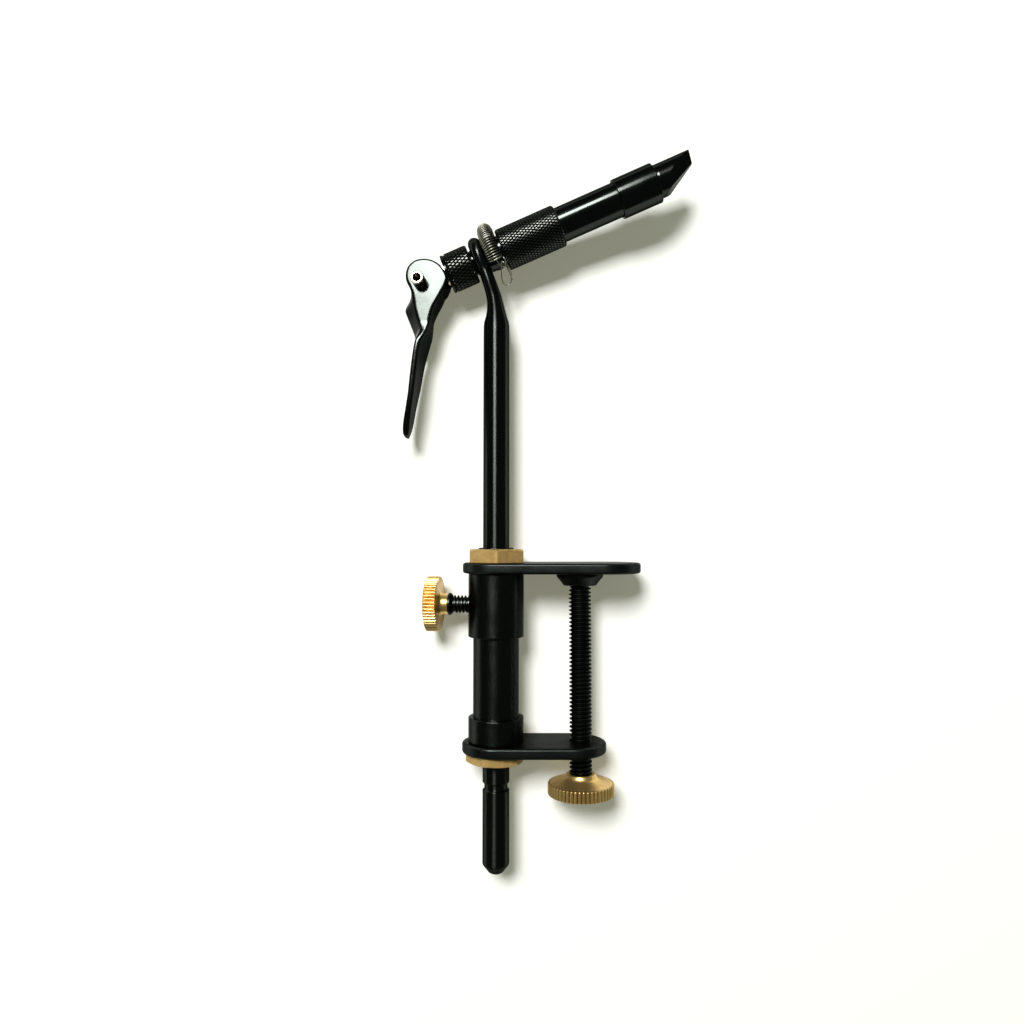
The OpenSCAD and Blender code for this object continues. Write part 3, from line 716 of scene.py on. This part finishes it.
class VISE_OT_clamp_screw(bpy.types.Operator):
    """Threaded clamp screw with its knurled brass knob and the swivelling pad."""

    bl_idname = "vise.clamp_screw"
    bl_label = "Clamp screw"

    def execute(self, context):
        pitch = context.scene.vise_sizes.clamp_pitch
        thread_piece("clamp_screw_thread", -76.0, -4.5, 3.1, 3.97, pitch, pitch * THREAD_DEPTH,
                     AT_WORLD, "clamp_screw", ["clamp_screw"])
        turned_piece("clamp_screw_head", [
            (0, -5), (2.5, -5), (2.5, -1.9, 0.1), (3.7, -0.72, 0.1), (0, -0.7)],
            AT_WORLD, "cut", "clamp_screw", [], 48)

        knob_r = 11.75
        knob_piece("clamp_knob_rim", [
            (3.99, 0.6), (3.99, 0, 0.3), (knob_r, 0, 0.5), (knob_r, 4, 0.45), (10.9, 4.12, 0.2),
            (7.9, 4.75, 1.2), (5.7, 5.75, 0.9), (5.2, 7.2, 0.25), (3.99, 7.2, 0.25)],
            knob_r, 1.0, Matrix.Translation((0, 0, -77.5)), "clamp_screw", ["clamp_knob"])

        turned_piece("clamp_pad_cup", [
            (2.6, -4.4, 0.15), (5.8, -4.4, 0.5), (6.6, -3.2, 0.6), (8.35, -1.2, 0.25),
            (8.35, -0.1, 0.3), (4.4, -0.1, 0.1), (2.6, -2.0, 0.1)],
            AT_WORLD, "painted", "pad", ["clamp_pad"])
        return {"FINISHED"}


class VISE_OT_lock_screw(bpy.types.Operator):
    """Lock screw and its knurled brass knob."""

    bl_idname = "vise.lock_screw"
    bl_label = "Lock screw"

    def execute(self, context):
        pitch = context.scene.vise_sizes.lock_pitch
        thread_piece("lock_screw_thread", 4.8, 16.0, 2.45, 3.17, pitch, pitch * THREAD_DEPTH,
                     AT_LOCK, "lock_screw", ["lock_screw"])
        foot = 17.1
        turned_piece("lock_screw_shoulder", [
            (0, 15.6), (2.5, 15.6), (3.2, 15.8, 0.2), (3.95, 16.4, 0.3), (3.95, foot), (0, foot)],
            AT_LOCK, "cut", "lock_screw", [], 64)

        knob_r = 9.85
        face = 24.9
        knob_piece("lock_knob_rim", [
            (0, foot), (3.4, foot), (3.75, 17.3, 0.2), (3.75, 19.7, 0.6),
            (4.3, 20.35, 0.35), (5.2, 20.4, 0.3), (knob_r, 20.4, 0.4), (knob_r, face, 0.4),
            (8.2, face, 0.3), (7.6, face - 0.25, 0.3), (0, face - 0.25)],
            knob_r, 0.8, AT_LOCK, "lock_knob", ["lock_knob"])
        return {"FINISHED"}


class VISE_OT_stem(bpy.types.Operator):
    """Stem rod with its stop groove, forged flat and bent into the eye."""

    bl_idname = "vise.stem"
    bl_label = "Stem"

    def execute(self, context):
        groove = -74.5
        groove_r = 4.13
        foot = -104.7
        rod = turned(rounded([
            (0, foot), (1.2, foot, 0.4), (2.6, -104.0, 0.4), (STEM_R, -101.3, 0.5),
            (STEM_R, groove - 1.4, 0.12), (groove_r, groove - 0.85, 0.12),
            (groove_r, groove + 0.85, 0.12), (STEM_R, groove + 1.4, 0.12), (STEM_R, ROD_TOP + 0.02),
            (0, ROD_TOP + 0.02)]))
        place_piece("stem_rod", rod, AT_STEM, "rod", "stem", ["stem"],
                    cuts=[((0, 0, ROD_TOP), (0, 0, 1))])
        eye = place_piece("stem_eye", forged_eye(), AT_SWIVEL, "oiled", "stem", [])
        neck_hole = cylinder_cutter(5.0, EYE_REAR - 4, EYE_REAR + 9)
        bore(eye, moved(neck_hole, AT_SWIVEL.inverted() @ AT_BARREL))
        return {"FINISHED"}


def leaning(angle):
    """Way in the barrel's plane that rises from +X by the angle."""
    return np.array([cos(angle), 0, sin(angle)])


def bar_section(centre, right, left, forward, half_w, half_t):
    """Ring round a flat bar with full-round sides, which reach out along the right and left
    ways. The bar's thickness lies along the forward way."""
    turn = np.linspace(-pi / 2, pi / 2, 13)[:, None]
    reach = half_w - half_t + half_t * np.cos(turn)
    depth = centre + forward * half_t * np.sin(turn)
    return np.concatenate([depth + right * reach, (depth + left * reach)[::-1]])


def forged_eye():
    """Loft from the round rod through the flattened neck to the eye. Each section is a bar with
    full-round sides. Over the eye the sides follow its circle."""
    up = leaning(TILT + pi / 2)
    ahead = leaning(TILT)
    eye_centre = np.array([-BARREL_BACK, 0, BARREL_HEIGHT]) + ahead * (EYE_REAR + EYE_T / 2)
    side = np.array([0, 1.0, 0])
    # Neck: place of the middle, lean, half width and half thickness
    neck = smooth_curve([
        (0, ROD_TOP, 0, 4.762, 4.762), (0, 91, 0, 4.8, 4.6),
        (0, 94.2, 4, 4.95, 3.6), (-0.25, 97.6, 9, 5.25, 2.95),
        (-0.9, 101.2, 15.5, 5.6, 2.65), (-2.2, 105.4, 20.5, 6.3, 2.45),
        (*(eye_centre - up * 6.3)[[0, 2]], degrees(TILT), 6.6, EYE_T / 2)], 6)
    rings = []
    for x, z, lean, half_w, half_t in neck:
        forward = leaning(radians(lean))
        rings.append(bar_section(np.array([x, 0, z]), side, -side, forward, half_w, half_t))
    for bearing in np.linspace(radians(-38), pi / 2, 40):
        rise = up * sin(bearing)
        out = side * cos(bearing)
        rings.append(bar_section(eye_centre, rise + out, rise - out, ahead, EYE_R, EYE_T / 2))
    points, faces = skin(np.array(rings))
    faces.append(list(range(len(rings[0])))[::-1])
    return points, faces


class VISE_OT_barrel(bpy.types.Operator):
    """Barrel tube with its rear thread, knurled grip and nose sleeve."""

    bl_idname = "vise.barrel"
    bl_label = "Barrel"

    def execute(self, context):
        sizes = context.scene.vise_sizes
        turned_piece("barrel_tube", [
            (4.75, 10), (4.95, 10), (4.95, 14.9), (5.8, 14.9, 0.2), (5.8, GRIP_REAR),
            (6.45, GRIP_REAR), (6.45, 76.1), (5.2, 76.1), (5.2, 24), (4, 24), (4, 9.6), (4.75, 9.6)],
            AT_BARREL, "polished", "barrel", ["barrel", "key_pin"])
        thread = thread_piece("barrel_thread", 1, 9.8, 4.3, 4.74, sizes.barrel_pitch, 0.5,
                              AT_BARREL, "barrel", [])
        bore(thread, cylinder_cutter(4.0, -1, 12))

        knurled_piece("grip", 6.47, GRIP_REAR, 43.8, 7.75, sizes.grip_diamonds,
                      sizes.diamond_depth, "barrel", ["grip_sleeve"])

        turned_piece("nose_sleeve_shell", [
            (6.47, 66.75, 0.1), (7.35, 66.75, 0.35), (7.35, 81.75, 0.4), (6.12, 81.75, 0.1),
            (5.05, 77.2), (5.2, 76.8), (5.2, 76.15), (6.47, 76.15)],
            AT_BARREL, "polished", "barrel", ["nose_sleeve"])
        return {"FINISHED"}


class VISE_OT_material_spring(bpy.types.Operator):
    """Garter spring round its seat, with its two linked hooks."""

    bl_idname = "vise.material_spring"
    bl_label = "Material spring"

    def execute(self, context):
        sizes = context.scene.vise_sizes
        wire_r = sizes.spring_wire / 2
        wire = tube(spring_path(sizes.spring_turns), wire_r, 9)
        at = AT_BARREL @ Matrix.Translation((0, 0, SPRING_PLACE))
        # The garter spring's wear values say how far each point is out of the painted shade inside its
        # curls
        place_piece("garter_spring", wire, at, "spring", "barrel", ["material_spring"],
                    open_to_view(wire[0], wire_r), sharp=60)
        return {"FINISHED"}


SPRING_START = radians(124)
SPRING_SWEEP = radians(226)
SPRING_RING_R = 8.8
SPRING_CURL_R = 2.62
# Routes of the two hooks from the coil's ends: how far down, how far back, and place on the axis
NEAR_HOOK = ((4.92, -7.3, 2.12), (5.6, -7.6, 2.45), (6.7, -7.3, 2.55), (7.7, -6.6, 2),
             (8.1, -6.1, 1.2), (7.4, -6.7, 0.3), (6.2, -7.5, -0.15), (4.8, -8.2, -0.2),
             (3.9, -8.6, -0.1))
FAR_HOOK = ((1.83, 8.61, 2.62), (4.5, 8.9, 2.7), (8, 7, 2.7), (10.8, 3, 2.8),
            (11.2, -1.9, 2.85), (9.8, -4.6, 3), (8.2, -6.6, 2.4), (7.2, -7.6, 1.8),
            (6.5, -7.4, 1.1), (6.9, -6.5, 0.5), (8.4, -5, 0), (10.2, -3.1, -0.8),
            (11.6, -1.3, -1.1), (12.5, 0.1, -0.6), (12.6, 0.5, 0.7), (12.1, -0.2, 1.9),
            (11.2, -1.2, 2.3))


def spring_path(turns):
    """Wire of the material spring round Z. Angle 0 is the top and 90 degrees the near side. The
    curls run from the near side over the top to the far underside, with a hook at each end."""
    steps = turns * 16
    share = np.arange(steps + 1) / steps
    angle = SPRING_START - SPRING_SWEEP * share
    phase = pi / 2 + tau * turns * share
    lean = -0.6 * np.maximum(0, np.sin(angle))
    reach = SPRING_RING_R + SPRING_CURL_R * np.cos(phase)
    curls = around(-reach, angle, SPRING_CURL_R * np.sin(phase) + lean)
    near = smooth_curve(NEAR_HOOK, 6)
    far = smooth_curve(FAR_HOOK, 6)
    return np.concatenate([near[::-1][:-1], curls, far[1:]])


def open_to_view(points, wire_r):
    """How far each point of the spring is out of its painted shade: 0 on the inside of its curls, which
    are painted dark to stand for the shade there.
    """
    far = np.hypot(points[:, 0], points[:, 1])
    # Here clean means out of the painted shade: distance from the curl's middle, in wire radii
    clean = (np.hypot(far - SPRING_RING_R, points[:, 2] + 0.3) - SPRING_CURL_R) / wire_r
    hooks = (points[:, 0] > 4.9) | (far > 11.8)
    return np.where(hooks, 1, np.clip(clean, 0, 1))


class VISE_OT_adjuster(bpy.types.Operator):
    """Diamond-knurled adjuster nut and its thrust washer."""

    bl_idname = "vise.adjuster"
    bl_label = "Adjuster nut"

    def execute(self, context):
        sizes = context.scene.vise_sizes
        knurled_piece("adjuster_nut_knurl", 4.8, 0, 9.2, 7.3, sizes.adjuster_diamonds,
                      sizes.diamond_depth * 1.1, "adjuster", ["adjuster_nut"])
        turned_piece("thrust_washer_ring", [
            (3.97, -1.05, 0.1), (7.25, -1.05, 0.25), (7.25, -0.05, 0.25), (3.97, -0.05, 0.1)],
            AT_BARREL, "oiled", "thrust", ["thrust_washer"])
        return {"FINISHED"}


class VISE_OT_collet(bpy.types.Operator):
    """Draw rod, return spring and the two bevelled jaws."""

    bl_idname = "vise.collet"
    bl_label = "Collet"

    def execute(self, context):
        draw_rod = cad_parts["draw_rod"]
        dress(draw_rod, finishes()["bright"])
        turns = 8
        share = np.linspace(0, 1, turns * 24 + 1)
        coil = around(4.55, tau * turns * share, 24.45 + 16.1 * share)
        # The return spring keeps the plain wear value, so half the painted shade colour darkens it all
        # over
        place_piece("return_spring_coil", tube(coil, 0.35), AT_BARREL, "spring", "barrel",
                    ["return_spring"], sharp=60)
        for name, side in (("near_jaw", -1), ("far_jaw", 1)):
            half = jaw_mesh(name, side)
            jaw = place_mesh(name + "_half", half, AT_BARREL, "polished", name, [name])
            settle(jaw)
        return {"FINISHED"}


def jaw_mesh(name, side):
    """Half of the jaws: a turned blank, split along its axis and ground on three faces. The edges
    that grinding leaves are broken slightly."""
    blank = turned(rounded([
        (0, 50), (4.6, 50, 0.2), (4.6, 77.2), (5.0, 77.2), (6.15, 82.6, 0.2),
        (6.15, 96.15, 0.1), (0, 96.15)]), 128)
    cuts = [
        ((0, side * 0.02, 60), (0, -side, 0)),
        ((5.52, 0, 84.7), (0.868, 0, 0.497)),
        ((0, 0, 96.05), (1.029, side * 1.384, 1)),
    ]
    mesh = as_mesh(name, blank, cuts=cuts)
    body = bmesh.new()
    body.from_mesh(mesh)
    bmesh.ops.dissolve_degenerate(body, dist=1e-7, edges=body.edges)
    ground = [edge for edge in body.edges
              if len(edge.link_faces) == 2 and edge.calc_face_angle() > radians(14)
              and min(v.co.z for v in edge.verts) > 82 * MM]
    bmesh.ops.bevel(body, geom=ground, offset=0.18 * MM, segments=3, profile=0.5, affect="EDGES",
                    clamp_overlap=True)
    bmesh.ops.recalc_face_normals(body, faces=body.faces)
    body.to_mesh(mesh)
    body.free()
    return mesh


class VISE_OT_lever(bpy.types.Operator):
    """Forged cam lever and the hollow pin it turns on."""

    bl_idname = "vise.lever"
    bl_label = "Cam lever"

    def execute(self, context):
        lever = place_piece("lever", joined(lever_head(), lever_arm()), AT_PIN, "polished", "lever",
                            ["cam_lever"])
        lever.modifiers.clear()
        melt = lever.modifiers.new("melt", "REMESH")
        melt.mode = "VOXEL"
        melt.voxel_size = 0.24 * MM
        soften = lever.modifiers.new("soften", "SMOOTH")
        soften.factor = 0.5
        soften.iterations = 8
        evaluated(lever)
        bore(lever, tongue_slot())
        settle(lever)
        set_wear_and_shade(lever.data)

        turned_piece("cam_pin_tube", [
            (1.5, -10.2, 0.15), (2.5, -10.2, 0.45), (2.5, 5.6, 0.25), (1.5, 5.6, 0.12)],
            AT_PIN @ Matrix.Rotation(-pi / 2, 4, "X"), "bright", "collet", ["cam_pin"], 64)
        return {"FINISHED"}


def upright(shape):
    """Stands a slab up: its outline's Y becomes Z, and its height becomes Y from near to far."""
    points, faces = shape
    return points[:, [0, 2, 1]], faces


def cam_point(angle):
    """Point of the cam's edge, whose reach from the pin falls evenly as the lever lifts."""
    lift = 1.07
    reach = 10.07 - lift * (angle - TILT)
    return (reach * cos(angle) + lift * sin(angle),
            reach * sin(angle) - lift * cos(angle))


def lever_head():
    """Thick cam head round the pin."""
    edge = [cam_point(radians(a)) for a in range(10, 116, 3)]
    back = smooth_curve([cam_point(radians(115)), (-4.6, 6.0), (-5.4, 3.2), (-5.15, 0.6),
                         (-4.1, -1.6), (-3.2, -3.6)], 4)[1:]
    front = smooth_curve([(8.5, -3.8), (9.6, -1.6), cam_point(radians(10))], 4)[:-1]
    return upright(slab(np.array([*edge, *back, *front]), -5, 5, 0.7))


# Drop below the pin, then x and y of the section's corners: near left, near right, far right and
# far left. The bar starts as the head's full width and turns into the thumb blade.
LEVER_SECTIONS = (
    (2.4, -3.5, -5, 8.9, -5, 8.8, 5, -3.9, 5),
    (4, -3.1, -5, 8.3, -5, 8, 5, -5.6, 5),
    (6, -2.6, -5, 7.2, -5, 7.1, 5, -7.1, 5),
    (7.8, -2.3, -5, 6.2, -5, 6.3, 4.8, -7.8, 4.8),
    (9.6, -2.1, -5, 5.2, -5, 5.4, 4.5, -7.4, 4.6),
    (13.4, -1.1, -5, 4.05, -5, 4, 3.6, -5.9, 5.5),
    (15.2, -0.4, -5.05, 3.7, -5.05, 3.6, 4.3, -5.2, 5.9),
    (17.5, 0.4, -5.4, 3.1, -5.35, 3.2, 5.2, -4.4, 6),
    (19.5, -0.2, -5.9, 2.3, -5.75, 2.8, 5.7, -3.9, 6),
    (21.5, -1.29, -6.3, 1.14, -6.1, 2.17, 6, -2.84, 6.1),
    (25, -2.13, -6.4, 0.16, -6.3, 1.15, 6.2, -1.15, 6.2),
    (30.4, -2.83, -6.4, -0.54, -6.3, -0.21, 6.2, -2.45, 6.2),
    (36.9, -3.53, -6.4, -1.24, -6.3, -1.34, 6.1, -3.54, 6.1),
    (40.5, -3.89, -6.3, -1.65, -6.2, -2.08, 6, -4.23, 6),
    (45.6, -4.66, -6.1, -2.37, -6, -3.1, 5.7, -5.1, 5.7),
    (50.6, -5.6, -5.5, -3.1, -5.4, -3.8, 5, -5.9, 5),
    (53.8, -6.0, -5.0, -3.4, -4.9, -4.3, 4, -6.2, 4),
    (56.0, -5.9, -4.2, -3.9, -4.1, -4.8, 2.8, -6.0, 2.8),
    (57.1, -5.4, -2.4, -4.6, -2.4, -5.0, 1.6, -5.6, 1.6),
)


def lever_arm():
    """Bar from the head's underside down to the thumb blade, with rounded corners."""
    rings = []
    for row in smooth_curve(LEVER_SECTIONS, 6):
        corners = row[1:].reshape(4, 2)
        least = min(np.linalg.norm(corners[i] - corners[i - 1]) for i in range(4))
        cut = min(0.8, 0.45 * least)
        ring = rounded([(x, y, cut) for x, y in corners], 4)
        rings.append(np.column_stack([ring, np.full(len(ring), -row[0])]))
    return loft(rings)


def tongue_slot():
    """Slot in the head that clears the draw rod's tongue as the lever lifts."""
    lift = radians(80)
    clear = 4.2
    first = TILT - pi / 2
    last = TILT + lift + pi / 2
    outline = [clear * leaning(a) for a in np.linspace(last, first + tau, 24)]
    outline += [outline[-1] + 20 * leaning(TILT), 32 * leaning(TILT + lift / 2),
                outline[0] + 20 * leaning(TILT + lift)]
    return loft([[(x, y, z) for x, _, z in outline] for y in (-2.5, 2.5)])


# Window light: the point it faces, its way and distance from there, its size and its roll
LIGHT_TARGET = Vector((-24.33, 0, 22.0))
WINDOW_WAY = Vector((-0.27, -1, 0.53))
WINDOW_DISTANCE = 2200
WINDOW_WIDTH = 740
WINDOW_HEIGHT = 620
WINDOW_ROLL = radians(25)


class VISE_OT_stage(bpy.types.Operator):
    """White sheet behind the vise, the window light, the room and the camera."""

    bl_idname = "vise.stage"
    bl_label = "Stage"

    def execute(self, context):
        scene = context.scene
        scene.view_settings.view_transform = "Standard"
        add_sheet(scene.vise_stage)
        add_window_light(scene.vise_stage.key_light)
        add_room(scene.vise_stage.room_light)
        add_camera(scene.vise_stage)
        return {"FINISHED"}


def add_sheet(stage):
    """Matt white sheet. It is seen and it shades only from its front, so that it never hides the
    vise from behind."""
    side = 4000
    mesh = bpy.data.meshes.new("sheet")
    y = stage.sheet_gap
    corners = [(-side, y, -side), (side, y, -side), (side, y, side), (-side, y, side)]
    mesh.from_pydata([Vector(c) * MM for c in corners], [], [(0, 1, 2, 3)])
    sheet = add_object("white_sheet", mesh)
    finish, tree = new_finish("matt_white_sheet")
    matt = add_node(tree, "BsdfDiffuse", {"Color": tone("backdrop")})
    # The sheet's own white lifts it to the photograph's plain white for the eye and for mirrors
    path = add_node(tree, "LightPath").outputs
    seen = add_math(tree, "MAXIMUM", path["Is Camera Ray"], path["Is Glossy Ray"])
    seen = add_math(tree, "MAXIMUM", seen, path["Is Transmission Ray"])
    strength = add_math(tree, "MULTIPLY", seen, stage.sheet_glow)
    lift = add_node(tree, "Emission", {"Color": tone("sheet_lift"), "Strength": strength})
    white = add_node(tree, "AddShader", {0: matt.outputs[0], 1: lift.outputs[0]})
    clear = add_node(tree, "BsdfTransparent")
    faced = add_node(tree, "NewGeometry")
    shader = add_node(tree, "MixShader", {
        0: faced.outputs["Backfacing"], 1: white.outputs[0], 2: clear.outputs[0]})
    finish_with(tree, shader)
    mesh.materials.append(finish)


def add_window_light(white):
    """Rectangular soft light, rolled about its own axis. Its energy is worked out from how bright
    its face is, where 1 is white, and from its area in square metres."""
    lamp = bpy.data.lights.new("window_light", "AREA")
    lamp.shape = "RECTANGLE"
    lamp.size = WINDOW_WIDTH * MM
    lamp.size_y = WINDOW_HEIGHT * MM
    lamp.energy = white * pi * WINDOW_WIDTH * WINDOW_HEIGHT * MM * MM
    item = add_object("window_light", lamp)
    way = WINDOW_WAY.normalized()
    item.location = (LIGHT_TARGET + way * WINDOW_DISTANCE) * MM
    aim = way.to_track_quat("Z", "Y").to_matrix() @ Matrix.Rotation(WINDOW_ROLL, 3, "Z")
    item.rotation_euler = aim.to_euler()


def add_room(strength):
    """Even grey room with a slight green cast."""
    world = bpy.data.worlds.new("room")
    world.use_nodes = True
    tree = world.node_tree
    tree.nodes.clear()
    glow = add_node(tree, "Background", {"Color": tone("room"), "Strength": strength})
    add_node(tree, "OutputWorld", {"Surface": glow.outputs[0]})
    bpy.context.scene.world = world


def add_camera(stage):
    """Camera of the photograph: it looks slightly up at the vise from straight in front. Its lens
    is 800 pixels long in a picture of 1024."""
    camera = bpy.data.cameras.new("camera")
    camera.sensor_width = 36
    camera.lens = camera.sensor_width * 800 / 1024
    camera.shift_y = stage.frame_shift
    camera.clip_start = 0.01
    camera.clip_end = 20
    item = add_object("camera", camera)
    item.location = Vector((LIGHT_TARGET.x, -stage.camera_distance, stage.camera_height)) * MM
    item.rotation_euler = (pi / 2 + stage.camera_pitch, 0, 0)
    bpy.context.scene.camera = item


OPERATORS = (VISE_OT_clamp_frame, VISE_OT_clamp_screw, VISE_OT_lock_screw, VISE_OT_stem,
             VISE_OT_barrel, VISE_OT_material_spring, VISE_OT_adjuster, VISE_OT_collet,
             VISE_OT_lever, VISE_OT_stage)


class VISE_PT_panel(bpy.types.Panel):
    """Lists the vise's builders, sizes and colours."""

    bl_label = "Fly Tying Vise"
    bl_space_type = "VIEW_3D"
    bl_region_type = "UI"
    bl_category = "Vise"

    def draw(self, context):
        layout = self.layout
        for operator in OPERATORS:
            layout.operator(operator.bl_idname)
        for group_name, kind in GROUPS.items():
            box = layout.box()
            for name in kind.__annotations__:
                box.prop(getattr(context.scene, group_name), name)


GROUPS = {"vise_sizes": ViseSizes, "vise_colours": ViseColours, "vise_stage": ViseStage}
CLASSES = (*GROUPS.values(), *OPERATORS, VISE_PT_panel)


def register():
    for kind in CLASSES:
        bpy.utils.register_class(kind)
    for name, group in GROUPS.items():
        setattr(bpy.types.Scene, name, bpy.props.PointerProperty(type=group))


def unregister():
    for name in GROUPS:
        delattr(bpy.types.Scene, name)
    for kind in reversed(CLASSES):
        bpy.utils.unregister_class(kind)


def main():
    register()
    bpy.ops.vise.clamp_frame()
    bpy.ops.vise.clamp_screw()
    bpy.ops.vise.lock_screw()
    bpy.ops.vise.stem()
    bpy.ops.vise.barrel()
    bpy.ops.vise.material_spring()
    bpy.ops.vise.adjuster()
    bpy.ops.vise.collet()
    bpy.ops.vise.lever()
    bpy.ops.vise.stage()
    bpy.context.view_layer.update()


if __name__ == "__main__":
    main()
